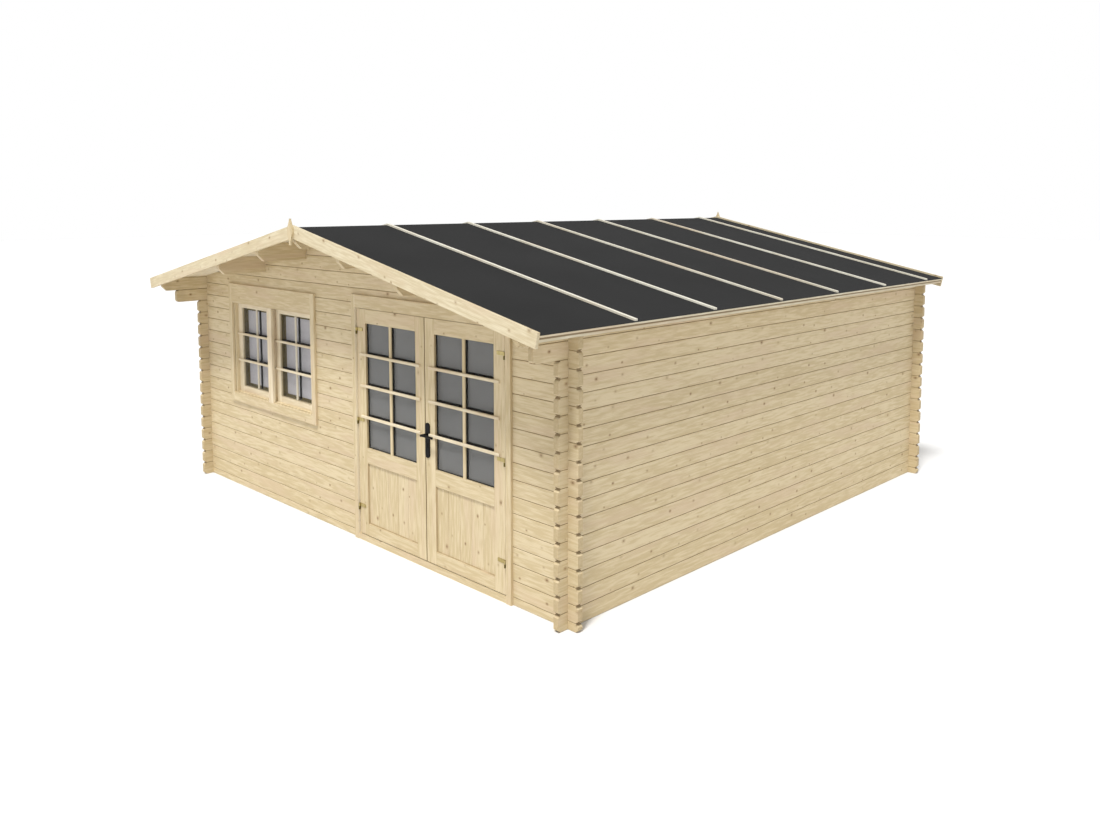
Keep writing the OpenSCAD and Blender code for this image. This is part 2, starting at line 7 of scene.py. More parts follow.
import bpy
import numpy as np
from mathutils import Euler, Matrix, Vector


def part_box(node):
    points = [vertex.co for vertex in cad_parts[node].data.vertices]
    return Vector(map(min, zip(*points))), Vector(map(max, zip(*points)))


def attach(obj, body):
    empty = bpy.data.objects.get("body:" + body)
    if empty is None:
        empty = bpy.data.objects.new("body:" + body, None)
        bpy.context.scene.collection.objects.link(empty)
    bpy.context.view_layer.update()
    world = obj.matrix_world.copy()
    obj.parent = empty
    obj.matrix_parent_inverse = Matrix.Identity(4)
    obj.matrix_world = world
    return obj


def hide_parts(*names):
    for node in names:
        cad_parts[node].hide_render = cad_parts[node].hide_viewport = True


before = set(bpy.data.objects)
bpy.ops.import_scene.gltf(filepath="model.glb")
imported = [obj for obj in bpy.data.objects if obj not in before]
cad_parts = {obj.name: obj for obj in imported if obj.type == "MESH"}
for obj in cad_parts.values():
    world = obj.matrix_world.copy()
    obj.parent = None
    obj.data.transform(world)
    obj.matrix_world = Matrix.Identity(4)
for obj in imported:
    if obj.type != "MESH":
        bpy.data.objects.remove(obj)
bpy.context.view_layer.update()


# Log walls
# Planed spruce logs, stacked with tongue and groove and notched into each other at the corners.
# New untreated wood: pale straw colour, fine grain along the log and small brown knots. A line of painted
# shade darkens the bevelled joint between two logs.
class Wire:
    """One shader socket. Sums and products of wires add Math nodes to the tree that the wire belongs to."""

    def __init__(self, tree, socket):
        self.tree = tree
        self.socket = socket

    def node(self, kind, sockets, settings=None, out=0):
        """Adds a node of the given kind: its settings first, then the values or links of its sockets."""
        made = self.tree.nodes.new(kind)
        for name, value in (settings or {}).items():
            setattr(made, name, value)
        for name, value in sockets.items():
            if isinstance(value, Wire):
                self.tree.links.new(value.socket, made.inputs[name])
            else:
                made.inputs[name].default_value = value
        return Wire(self.tree, made.outputs[out])

    def other(self, out):
        """Another output of the node that this wire comes from."""
        return Wire(self.tree, self.socket.node.outputs[out])

    def maths(self, operation, first, second=0.0):
        return self.node("ShaderNodeMath", {0: first, 1: second}, {"operation": operation})

    def __add__(self, other):
        return self.maths("ADD", self, other)

    def __radd__(self, other):
        return self.maths("ADD", other, self)

    def __sub__(self, other):
        return self.maths("SUBTRACT", self, other)

    def __rsub__(self, other):
        return self.maths("SUBTRACT", other, self)

    def __mul__(self, other):
        return self.maths("MULTIPLY", self, other)

    def __rmul__(self, other):
        return self.maths("MULTIPLY", other, self)

    def __truediv__(self, other):
        return self.maths("DIVIDE", self, other)

    def __gt__(self, other):
        return self.maths("GREATER_THAN", self, other)

    def __lt__(self, other):
        return self.maths("LESS_THAN", self, other)

    def __abs__(self):
        return self.maths("ABSOLUTE", self)

    def __pow__(self, other):
        return self.maths("POWER", self, other)

    def call(self, operation):
        """A function of one value, such as FLOOR, FRACT, SINE or EXPONENT."""
        return self.maths(operation, self)

    def limited(self, low, high):
        """0 below low, 1 above high, smooth between."""
        span = {"Value": self, "From Min": low, "From Max": high}
        return self.node("ShaderNodeMapRange", span, {"interpolation_type": "SMOOTHSTEP"})

    def at(self, x, y, z=0.0):
        """The point with these three values."""
        return self.node("ShaderNodeCombineXYZ", {0: x, 1: y, 2: z})

    def noise(self, x, y, z, detail=2.0):
        """Noise at a point whose values are already in noise cells."""
        return self.node("ShaderNodeTexNoise", {"Vector": self.at(x, y, z), "Scale": 1.0, "Detail": detail})

    def mix(self, first, second):
        """The colour between first and second, with this wire as the share of the second."""
        sockets = {"Factor": self, 6: first, 7: second}
        return self.node("ShaderNodeMix", sockets, {"data_type": "RGBA"}, 2)


def blank_material(name):
    """A new material: itself, its shader node, and wires of the object's own X, Y and Z."""
    made = bpy.data.materials.new(name)
    made.use_nodes = True
    tree = made.node_tree
    place = Wire(tree, tree.nodes.new("ShaderNodeTexCoord").outputs["Object"])
    x = place.node("ShaderNodeSeparateXYZ", {0: place})
    return made, tree.nodes["Principled BSDF"], (x, x.other(1), x.other(2))


def feed(shader, **wires):
    """Links wires to the shader's sockets; a socket's words are joined by underscores."""
    for name, wire in wires.items():
        wire.tree.links.new(wire.socket, shader.inputs[name.replace("_", " ")])


SPRUCE_PALE = (0.655, 0.550, 0.362, 1)
SPRUCE_DEEP = (0.545, 0.440, 0.262, 1)
SPRUCE_BLUSH = (0.600, 0.468, 0.322, 1)
GROWTH_LINE = (0.420, 0.300, 0.150, 1)
KNOT_RIM = (0.330, 0.215, 0.110, 1)
KNOT_HEART = (0.170, 0.095, 0.045, 1)
JOINT_SHADE = (0.190, 0.125, 0.058, 1)
END_GRAIN = (0.420, 0.320, 0.175, 1)
# Painted light: a pale edge that lifts the shaded recess beside the upright pieces
PAINTED_LIGHT_EDGE = (0.900, 0.830, 0.660, 1)

# Noise cells to a metre, along the grain and across it
SLOW_DRIFT = (0.8, 6.0)
FINE_FIBRE = (6.0, 420.0)
SHORT_STREAK = (7.0, 60.0)
SOFT_CLOUD = (1.6, 11.0)
WARM_BLUSH = (1.2, 7.0)

# Shifts along the grain and sizes on the wood, in metres
PIECE_SHIFT, BLUSH_SHIFT = 23.0, 7.5
KNOT_SMALL, KNOT_SPREAD = 0.0035, 0.0065
EDGE_FADE, END_FADE = (0.0008, 0.0025), (0.07, 0.10)
END_FACE, GRAIN_RELIEF = 0.0005, 0.0006

# The angle of the growth lines' sine: its turn to a metre, and how far drift and knots push it
LINE_TURN, LINE_DRIFT, KNOT_PUSH = 700.0, 40.0, 6.0


def spruce(name, grain, board, first_joint=0.0, across=None, upright=None, knot_every=0.27, knot_share=0.65,
           joint=0.0, joint_share=0.78, seam=PAINTED_LIGHT_EDGE, ends=None, bevel=0.014, pale=SPRUCE_PALE,
           deep=SPRUCE_DEEP):
    """Planed spruce with its fibres along the axis of index grain.

    Across the grain the wood is cut into pieces as wide as board, from first_joint on, each with a tone and
    a grain of its own. across gives the place across the grain from X, Y and Z. upright, where given, gives
    how far a point lies inside the parts whose grain stands up instead, and seam is the colour painted on the
    thin edge where these begin: a pale seam is painted light, a dark seam is painted shade.
    Growth lines are a sine of the place across the grain, bent by a slow noise and pushed aside around each
    knot; a knot sits at the point of a Voronoi cell. joint is the width of the painted shade between two
    pieces.
    ends, where given, gives the two places along the grain where it is cut across: there the wood is darker,
    and at each joint painted shade, as wide as bevel, darkens the cut corners where they leave a notch.
    """
    made, shader, place = blank_material(name)
    x, y, z = place
    along = place[grain]
    side = across(x, y, z) if across else (x if grain == 2 else z)
    depth = x if grain == 1 else y
    if upright:
        inside = upright(x, y, z)
        stands = inside > 0.0
        along, side = along * (1 - stands) + z * stands, side * (1 - stands) + x * stands
    row = (side - first_joint) / board
    piece = row.call("FLOOR")
    luck = piece.node("ShaderNodeTexWhiteNoise", {"W": piece + 0.5}, {"noise_dimensions": "1D"})
    run = along + luck * PIECE_SHIFT

    def drawn_out(start, cells, detail=2.0):
        """Noise drawn out along the grain from start, with cells as its two counts to a metre."""
        along_cells, across_cells = cells
        return run.noise(start * along_cells, side * across_cells, depth * across_cells, detail)

    cell_run = run / knot_every
    points = {"Vector": row.at(cell_run, row), "Scale": 1.0, "Randomness": 0.9}
    cell = row.node("ShaderNodeTexVoronoi", points, {"voronoi_dimensions": "2D"}, 1)
    chance = cell.node("ShaderNodeSeparateColor", {0: cell})
    middle = cell.node("ShaderNodeSeparateXYZ", {0: cell.other(2)})
    off_run = (cell_run - middle) * knot_every
    off_side = (row - middle.other(1)) * board
    knot_size = KNOT_SMALL + KNOT_SPREAD * chance.other(1)
    far = (off_run * off_run * 0.6 + off_side * off_side) ** 0.5 / knot_size
    knot = (chance < knot_share) * (0.20 + 0.65 * chance.other(2) ** 1.5)
    slow = drawn_out(run, SLOW_DRIFT, 3.0)
    bend = (far * -0.3).call("EXPONENT") * (chance < knot_share)
    turn = side * LINE_TURN + slow * LINE_DRIFT + bend * KNOT_PUSH + luck * LINE_DRIFT
    rings = (turn.call("SINE") * 0.5 + 0.5) ** 2.0
    fibre = drawn_out(run, FINE_FIBRE, 3.0)
    streak = drawn_out(run, SHORT_STREAK, 3.0)
    cloud = drawn_out(run, SOFT_CLOUD)
    blush = drawn_out(run + BLUSH_SHIFT, WARM_BLUSH)
    tone = (streak * 2.8 + cloud * 0.9 + fibre * 0.6 + luck * 0.35 - 1.85).limited(0.0, 1.0)
    wood = tone.mix(pale, deep)
    wood = (blush.limited(0.48, 0.72) * 0.6).mix(wood, SPRUCE_BLUSH)
    wood = (rings * (0.06 + 0.25 * cloud)).mix(wood, GROWTH_LINE)
    wood = ((1 - far.limited(0.8, 2.3)) * knot * 0.8).mix(wood, KNOT_RIM)
    wood = ((1 - far.limited(0.3, 1.0)) * knot).mix(wood, KNOT_HEART)
    if joint:
        # Painted shade: the joint between two pieces is darkened as if in the shade of its bevelled groove
        gap = (0.5 - abs(row.call("FRACT") - 0.5)) * board
        wood = ((1 - gap.limited(joint * 0.3, joint * 0.6)) * joint_share).mix(wood, JOINT_SHADE)
    if upright:
        # Painted on the thin edge where the upright pieces begin: a pale seam is painted light, a dark one
        # painted shade
        wood = ((1 - abs(inside).limited(*EDGE_FADE)) * 0.6).mix(wood, seam)
    if ends:
        start, end = ends(x, y, z)
        inset = (end - start) / 2 - abs(along - (start + end) / 2)
        wood = ((1 - inset.limited(*END_FADE)) * 0.16).mix(wood, END_GRAIN)
        wood = ((inset < END_FACE) * (0.40 + 0.4 * streak)).mix(wood, END_GRAIN)
    if ends and joint:
        # Painted shade in the notch that the cut corners leave at each joint
        notch_shade = (1 - inset.limited(bevel, 1.5 * bevel)) * (1 - gap.limited(0.4 * bevel, bevel))
        wood = (notch_shade * 0.85).mix(wood, JOINT_SHADE)
    feed(shader, Base_Color=wood, Roughness=0.55 + 0.2 * fibre)
    shader.inputs["Specular IOR Level"].default_value = 0.25
    relief = fibre * 0.7 + rings * 0.3
    bump = {"Strength": 0.2, "Distance": GRAIN_RELIEF, "Height": relief}
    feed(shader, Normal=relief.node("ShaderNodeBump", bump))
    return made


def finish_with(material, *nodes):
    """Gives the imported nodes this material."""
    for node in nodes:
        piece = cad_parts[node]
        piece.data.materials.clear()
        piece.data.materials.append(material)


def corners(node):
    """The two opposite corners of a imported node, as arrays."""
    low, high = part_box(node)
    return np.array(low), np.array(high)


log_cover = 0.113
log_joint = 0.0045
front_low, front_high = corners("back_wall_logs")
side_low, side_high = corners("right_wall_logs")
plain_courses, lower_bracket = 15, 0.21


def side_log_ends(x, y, z):
    """Both ends of a side log lie equally far out, but the two top logs reach forward as brackets."""
    lower = (z > plain_courses * log_cover) * lower_bracket
    upper = (z > (plain_courses + 1) * log_cover) * float(-side_high[1] - lower_bracket - side_low[1])
    return -side_high[1] - lower - upper, side_high[1]


finish_with(spruce("front_log_spruce", 0, log_cover, first_joint=log_cover / 2, joint=log_joint,
                   ends=lambda x, y, z: (front_low[0], front_high[0])),
            "front_logs_left", "front_logs_middle", "front_logs_right", "front_gable_logs",
            "back_wall_logs", "back_gable_logs")
finish_with(spruce("side_log_spruce", 1, log_cover, joint=log_joint, ends=side_log_ends),
            "left_wall_logs", "right_wall_logs")


# Floor
# Tongue-and-groove boards on bearers that lie on the ground, level with the door's threshold.
# The boards run from front to back, their upper edges are eased, and they are cut out round the door frame.
def carry(outline, places, u, v, closed=False):
    """A profile carried along a path: ring i is places[i] + outline[:, 0] * u[i] + outline[:, 1] * v[i].

    Neighbouring rings are joined by quads. An open path has its two ends closed by one face each.
    """
    outline = np.asarray(outline, float)
    places, u, v = (np.asarray(rows, float) for rows in (places, u, v))
    rings = places[:, None] + outline[None, :, :1] * u[:, None] + outline[None, :, 1:] * v[:, None]
    count, size = rings.shape[:2]
    i, j = np.meshgrid(np.arange(count if closed else count - 1), np.arange(size), indexing="ij")
    k, m = (i + 1) % count, (j + 1) % size
    quads = np.stack([i * size + j, i * size + m, k * size + m, k * size + j], -1)
    faces = quads.reshape(-1, 4).tolist()
    if not closed:
        faces.append(list(range(size))[::-1])
        faces.append(list(range((count - 1) * size, count * size)))
    return rings.reshape(-1, 3), faces


def straight(outline, start, end, u, v):
    """A profile carried along one straight line, with u and v as the outline's two directions."""
    return carry(outline, [start, end], [u, u], [v, v])


def build_piece(name, parts, material, body, replaced=()):
    """Joins surfaces into one mesh object at the origin, with all faces outwards, and sets it on its body."""
    points, faces, first = [], [], 0
    for part_points, part_faces in parts:
        points.append(part_points)
        faces += [[index + first for index in face] for face in part_faces]
        first += len(part_points)
    mesh = bpy.data.meshes.new(name)
    mesh.from_pydata(np.concatenate(points).tolist(), [], faces)
    mesh.materials.append(material)
    piece = bpy.data.objects.new(name, mesh)
    bpy.context.collection.objects.link(piece)
    bpy.context.view_layer.objects.active = piece
    bpy.ops.object.mode_set(mode="EDIT")
    bpy.ops.mesh.select_all(action="SELECT")
    bpy.ops.mesh.normals_make_consistent(inside=False)
    bpy.ops.object.mode_set(mode="OBJECT")
    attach(piece, body)
    if replaced:
        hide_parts(*replaced)


def board_row(length, board, thickness, groove):
    """Outline of boards side by side from 0 to length: flat at 0, with V grooves in the face at thickness."""
    count = max(1, round(length / board))
    step = length / count
    starts = np.arange(count)[:, None] * step
    crowns = starts + np.array([groove, step - groove])
    upper = np.stack([crowns, np.full_like(crowns, thickness)], -1)
    valley = np.stack([starts, np.full_like(starts, thickness - groove)], -1)
    edge = np.concatenate([valley, upper], 1).reshape(-1, 2)
    return np.concatenate([edge, [[length, thickness - groove], [length, 0.0], [0.0, 0.0]]])


floor_board, floor_joint, floor_groove, frame_gap = 0.096, 0.003, 0.002, 0.0003
bearer_width = 0.06
floor_low, floor_high = corners("floor_boards")
jamb_low, jamb_high = corners("door_frame")
floor_wood = spruce("floor_spruce", 1, floor_board, first_joint=floor_low[0], across=lambda x, y, z: x,
                    joint=floor_joint)
cut_left, cut_right, cut_back = jamb_low[0] - frame_gap, jamb_high[0] + frame_gap, jamb_high[1] + frame_gap
floor_parts = []
for x0, x1, y0, y1 in ((floor_low[0], floor_high[0], cut_back, floor_high[1]),
                       (floor_low[0], cut_left, floor_low[1], cut_back),
                       (cut_right, floor_high[0], floor_low[1], cut_back)):
    row = board_row(x1 - x0, floor_board, floor_high[2] - floor_low[2], floor_groove)
    floor_parts.append(straight(row, (x0, y0, floor_low[2]), (x0, y1, floor_low[2]), (1, 0, 0), (0, 0, 1)))
build_piece("floor_planks", floor_parts, floor_wood, "cabin", ["floor_boards"])
finish_with(spruce("bearer_spruce", 0, bearer_width, across=lambda x, y, z: y), "floor_bearers")


# Purlins
# Five deep spruce beams from gable to gable, let into the gable logs; they carry the roof boards.
# The lower corners of their ends are cut off.
purlin_band, purlin_lean = 0.3, 0.7
finish_with(spruce("purlin_spruce", 1, purlin_band, across=lambda x, y, z: z + purlin_lean * x,
                   knot_every=0.7),
            "ridge_purlin", "side_purlins")


# Roof boards
# Tongue-and-groove boards that run from the ridge to the eave; their V joints show from below.
# They are nailed to the purlins and to the top logs of the side walls.
roof_board, roof_joint, roof_groove, roof_bevel = 0.096, 0.003, 0.003, 0.004
deck_low, deck_high = corners("roof_boards_right")
felt_low, felt_high = corners("roof_felt_right")
roof_slope = (deck_high[2] - felt_low[2]) / (felt_high[0] - felt_low[0])
deck_upright = deck_high[2] - deck_low[2] - roof_slope * (deck_high[0] - deck_low[0])
# Painted light: the roof boards are much paler than the walls, standing in for the light thrown up under the
# eaves
deck_lit_pale, deck_lit_deep = (0.850, 0.780, 0.620, 1), (0.760, 0.680, 0.510, 1)
# At the eave the boards' cut ends are darker: end grain, and painted shade under the upper eave strip
deck_wood = spruce("roof_board_spruce", 0, roof_board, first_joint=deck_low[1], across=lambda x, y, z: y,
                   knot_every=0.6, joint=roof_joint, ends=lambda x, y, z: (-deck_high[0], deck_high[0]),
                   bevel=roof_bevel, pale=deck_lit_pale, deep=deck_lit_deep)
deck_outline = board_row(deck_high[1] - deck_low[1], roof_board, deck_upright, roof_groove)
for side, sign in (("left", -1), ("right", 1)):
    ridge_end = (sign * deck_low[0], deck_low[1], deck_high[2])
    eave_end = (sign * deck_high[0], deck_low[1], deck_low[2] + deck_upright)
    build_piece("roof_planks_" + side, [straight(deck_outline, ridge_end, eave_end, (0, 1, 0), (0, 0, -1))],
                deck_wood, "cabin", ["roof_boards_" + side])


# Roof felt
# Dark mineral felt laid over the boards from ridge to eave, with a fine grit of slate on it.
# The battens nail its laps down.
def felt_finish():
    """Bitumen felt: near black, with light and dark grit a millimetre or two across and slow fading."""
    made, shader, (x, y, z) = blank_material("grey_mineral_felt")
    grit_cells, fade_cells, grit_relief = 700.0, 1.3, 0.001
    felt_dark, felt_pale = (0.014, 0.014, 0.014, 1), (0.028, 0.028, 0.028, 1)
    grit = x.noise(x * grit_cells, y * grit_cells, z * grit_cells)
    fade = x.noise(x * fade_cells, y * fade_cells, z, 3.0)
    shade = (grit * 0.55 + fade * 0.5 - 0.15).limited(0.0, 1.0)
    bump = {"Strength": 0.35, "Distance": grit_relief, "Height": grit}
    feed(shader, Base_Color=shade.mix(felt_dark, felt_pale), Roughness=0.82 + 0.12 * grit,
         Normal=grit.node("ShaderNodeBump", bump))
    shader.inputs["Specular IOR Level"].default_value = 0.15
    return made


finish_with(felt_finish(), "roof_felt_left", "roof_felt_right")


# Battens, barge boards, eave strips and ridge boards
# Slim planed boards that finish the roof: battens over the felt, boards on the gable edges, strips along the
# eaves, and a shaped board over each joint of the barge boards, all nailed on.
batten_step, barge_band, barge_start = 0.42, 0.2, 2.31
eave_band, eave_shade_drop, eave_shade_width, ridge_band = 0.5, 0.004, 0.015, 0.5
# Painted light: the battens' wood is made whiter, standing in for the strong light on their upper faces
batten_lit_pale, batten_lit_deep = (0.740, 0.715, 0.620, 1), (0.640, 0.605, 0.500, 1)
finish_with(spruce("batten_spruce", 0, batten_step, across=lambda x, y, z: y, knot_every=0.9, knot_share=0.3,
                   pale=batten_lit_pale, deep=batten_lit_deep),
            "roof_battens_left", "roof_battens_right")
# Painted light: the barge boards are a little paler and whiter than the walls, standing in for the light on
# their top edges
trim_lit_pale, trim_lit_deep = (0.685, 0.605, 0.430, 1), (0.580, 0.490, 0.320, 1)
barge_low, barge_high = corners("front_barge_boards")
finish_with(spruce("barge_spruce", 0, barge_band, first_joint=barge_start,
                   across=lambda x, y, z: z + abs(x) * roof_slope, knot_every=0.15, knot_share=0.95,
                   ends=lambda x, y, z: (barge_low[0], barge_high[0]), pale=trim_lit_pale, deep=trim_lit_deep),
            "front_barge_boards", "rear_barge_boards")
# Painted light: the eave strips are made whiter, standing in for the light on their upper faces
eave_lit_pale, eave_lit_deep = (0.715, 0.655, 0.505, 1), (0.610, 0.545, 0.395, 1)
# Painted shade: one dark band across the eave strips where the lower strip meets the upper one, in the
# crevice between them
finish_with(spruce("eave_spruce", 1, eave_band, first_joint=deck_low[2] - eave_shade_drop, knot_share=0.3,
                   joint=eave_shade_width, joint_share=0.85, pale=eave_lit_pale, deep=eave_lit_deep),
            "eave_strips_left", "eave_strips_right")
finish_with(spruce("ridge_board_spruce", 2, ridge_band, knot_share=0.2), "front_finial", "rear_finial")


# Window
# A wide fixed window: casing on the logs, a frame through the wall, a mullion and two sashes with bars.
# Side pieces stand upright in the grain, heads and sills lie level. The upright bar and dark spacers lie
# between the panes, the level bars on the sash. The spacers are near black to stand in also for the shade
# beside the bars, and a dark lining round each pane is painted shade.
def upright_outside(middle, reach):
    """How far a point lies beyond reach from the middle, where the pieces stand up."""
    return lambda x, y, z: abs(x - middle) - reach


def eased(width, depth, ease=0.003):
    """Outline of a bar: flat back at 0, eased front edges at depth."""
    half = width / 2
    return [(-half, 0), (half, 0), (half, depth - ease), (half - ease, depth), (ease - half, depth),
            (-half, depth - ease)]


def level_bar(x0, x1, y, z, width, depth):
    """A bar along X whose back lies at y."""
    return straight(eased(width, depth), (x0, y, z), (x1, y, z), (0, 0, 1), (0, -1, 0))


def upright_bar(x, y, z0, z1, width, depth):
    """A bar along Z whose back lies at y."""
    return straight(eased(width, depth), (x, y, z0), (x, y, z1), (1, 0, 0), (0, -1, 0))


def pane_sheet(x0, x1, y, z0, z1, thickness):
    """One flat pane, its front face at y."""
    outline = [(x0, z0), (x1, z0), (x1, z1), (x0, z1)]
    return straight(outline, (0, y, 0), (0, y + thickness, 0), (1, 0, 0), (0, 0, 1))


def rectangle_frame(x0, x1, z0, z1, outline, y):
    """A profile carried round a rectangle with mitred corners: u points inwards, v points out of the wall."""
    places = [(x0, y, z0), (x1, y, z0), (x1, y, z1), (x0, y, z1)]
    inward = [(1, 0, 1), (-1, 0, 1), (-1, 0, -1), (1, 0, -1)]
    return carry(outline, places, inward, [(0, -1, 0)] * 4, closed=True)


def clear_pane():
    """Clear float glass: almost no body colour, with faint drifting changes of gloss."""
    made, shader, (x, y, z) = blank_material("clear_pane")
    feed(shader, Roughness=0.02 + 0.05 * x.noise(x * 3.0, y, z * 3.0))
    shader.inputs["Base Color"].default_value = (0.05, 0.055, 0.055, 1)
    shader.inputs["Alpha"].default_value = 0.10
    return made


def grey_pane(name, dark, pale, body):
    """Inner pane of greyed glass; body is the share of light that it stops."""
    made, shader, (x, y, z) = blank_material(name)
    haze = x.noise(x * 2.0, y, z * 1.2)
    feed(shader, Base_Color=haze.mix(dark, pale))
    shader.inputs["Roughness"].default_value = 0.25
    shader.inputs["Alpha"].default_value = body
    return made


def spacer_finish(name, dark, pale):
    """Dull dark finish of spacers, linings and rubber seals, with a faint streaked tone; on linings it is
    painted shade.
    """
    made, shader, (x, y, z) = blank_material(name)
    streak = x.noise(x * 40.0, y * 40.0, z * 3.0)
    feed(shader, Base_Color=streak.mix(dark, pale))
    shader.inputs["Roughness"].default_value = 0.7
    shader.inputs["Specular IOR Level"].default_value = 0.1
    return made


outer_glass = clear_pane()
spacer_and_shade_dark = spacer_finish("dark_spacer_and_shade", (0.004, 0.003, 0.002, 1), (0.010, 0.007, 0.004, 1))
lining_shade = spacer_finish("painted_shade_lining", (0.130, 0.100, 0.040, 1), (0.180, 0.142, 0.062, 1))
bar_band, window_board, sash_board = 0.25, 0.11, 0.08
# Painted light: the bars, mullion and sashes are paler than the casing, standing in for light catching them
bar_lit_pale, bar_lit_deep = (0.760, 0.670, 0.500, 1), (0.660, 0.560, 0.390, 1)
bar_wood_level = spruce("level_bar_spruce", 0, bar_band, knot_share=0.05, pale=bar_lit_pale, deep=bar_lit_deep)
bar_wood_upright = spruce("upright_bar_spruce", 2, bar_band, knot_share=0.05)
# Painted light: the window's upright bar is paler still, as if lit inside the shaded recess
pane_bar_lit_pale, pane_bar_lit_deep = (0.880, 0.810, 0.650, 1), (0.800, 0.720, 0.550, 1)
pane_bar_wood = spruce("pane_bar_spruce", 2, bar_band, knot_share=0.05, pale=pane_bar_lit_pale,
                       deep=pane_bar_lit_deep)
casing_low, casing_high = corners("window_casing")
window_mid = (casing_low[0] + casing_high[0]) / 2
window_half = (casing_high[0] - casing_low[0]) / 2
casing_side, frame_side, sash_side = 0.0585, 0.0785, 0.0703
casing_sides = upright_outside(window_mid, window_half - casing_side)
# Painted light: a pale edge where the casing's side pieces begin lifts the shaded recess
finish_with(spruce("window_casing_spruce", 0, window_board, upright=casing_sides, seam=SPRUCE_PALE,
                   knot_share=0.35),
            "window_casing")
frame_sides = upright_outside(window_mid, window_half - frame_side)
# Painted light: a pale edge where the frame's side pieces begin lifts the shaded recess
finish_with(spruce("window_frame_spruce", 0, window_board, upright=frame_sides, seam=SPRUCE_PALE,
                   knot_share=0.2),
            "window_frame")
finish_with(spruce("mullion_spruce", 2, window_board, knot_share=0.3, pale=bar_lit_pale, deep=bar_lit_deep),
            "window_mullion")
finish_with(outer_glass, "window_glass")
window_inner_glass = grey_pane("window_inner_pane", (0.62, 0.60, 0.63, 1), (0.72, 0.70, 0.73, 1), 0.8)
pane_low, pane_high = corners("window_glass")
touch, pane_gap, glass_gap, face_reach = 0.0002, 0.0003, 0.0005, 0.0005
level_bar_width, level_bar_depth, level_bar_inset = 0.020, 0.012, 0.002
upright_bar_width, upright_bar_depth = 0.026, 0.009
bead_width, bead_depth = 0.004, 0.010
lining_border, lining_sheet = 0.026, 0.001
level_spacer, upright_spacer, upright_spacer_depth = 0.026, 0.030, 0.004
inner_pane, inner_pane_inset = 0.003, 0.004
window_bead = [(0, 0), (bead_width, 0), (bead_width, bead_depth), (0, bead_depth)]
for side in ("left", "right"):
    low, high = corners("window_sash_" + side)
    middle = (low[0] + high[0]) / 2
    half = (high[0] - low[0]) / 2 - sash_side
    sash_sides = upright_outside(middle, half - face_reach)
    # Painted light: a pale edge where the sash's stiles begin lifts the shaded recess
    finish_with(spruce("window_sash_spruce_" + side, 0, sash_board, upright=sash_sides, knot_share=0.2,
                       pale=bar_lit_pale, deep=bar_lit_deep),
                "window_sash_" + side)
    x0, x1, z0, z1 = middle - half, middle + half, pane_low[2], pane_high[2]
    heights = z0 + (z1 - z0) * np.array([1, 2]) / 3
    build_piece("window_bars_level_" + side,
                [level_bar(low[0] + level_bar_inset, high[0] - level_bar_inset, low[1], height,
                           level_bar_width, level_bar_depth) for height in heights],
                bar_wood_level, "cabin")
    bead_back = pane_high[1] + glass_gap + bead_depth
    build_piece("window_bead_" + side, [rectangle_frame(x0, x1, z0, z1, window_bead, bead_back)],
                bar_wood_upright, "cabin")
    inset = bead_width + touch
    left, right, foot, top = x0 + inset, x1 - inset, z0 + inset, z1 - inset
    build_piece("window_bar_upright_" + side,
                [upright_bar(middle, bead_back, foot, top, upright_bar_width, upright_bar_depth)],
                pane_bar_wood, "cabin")
    back = high[1] - inner_pane_inset
    room = back - bead_back - pane_gap
    # Painted shade: a dark lining round each pane and a dark border on its face stand in for the shade of the
    # deep recess
    lining = [(0, 0), (lining_border, 0), (lining_border, lining_sheet), (bead_width, lining_sheet),
              (bead_width, room), (0, room)]
    build_piece("window_lining_" + side, [rectangle_frame(x0, x1, z0, z1, lining, back)],
                lining_shade, "cabin")
    sheet_room = lining_sheet + touch
    spacer_back, spacer_depth = back - sheet_room, room - sheet_room
    # Partly painted shade: the near black spacers also stand in for the shade beside the bars
    spacers = [level_bar(left, right, spacer_back, height, level_spacer, spacer_depth) for height in heights]
    spacers += [upright_bar(middle, spacer_back, foot, top, upright_spacer, upright_spacer_depth)]
    build_piece("window_spacers_" + side, spacers, spacer_and_shade_dark, "cabin")
    build_piece("window_inner_pane_" + side, [pane_sheet(x0, x1, back + pane_gap, z0, z1, inner_pane)],
                window_inner_glass, "cabin")


# Door frame
# Jambs, head and casing around a double door, with a low threshold that the leaves close over.
# All planed spruce; the side pieces stand, the head and the threshold lie level.
door_casing_side, jamb_side, door_board = 0.0497, 0.0365, 0.12
surround_low, surround_high = corners("door_casing")
door_mid = (surround_low[0] + surround_high[0]) / 2
door_half = (surround_high[0] - surround_low[0]) / 2
jamb_half = (jamb_high[0] - jamb_low[0]) / 2
surround_sides = upright_outside(door_mid, door_half - door_casing_side)
# Painted light: a pale edge where the side pieces begin lifts the shaded gap beside the leaves
finish_with(spruce("door_casing_spruce", 0, door_board, upright=surround_sides, knot_share=0.5),
            "door_casing")
jamb_sides = upright_outside(door_mid, jamb_half - jamb_side)
# Painted light: a pale edge where the jambs begin lifts the shaded gap beside the leaves
finish_with(spruce("door_frame_spruce", 0, door_board, upright=jamb_sides, knot_share=0.3), "door_frame")
finish_with(spruce("threshold_spruce", 0, door_board), "door_threshold")


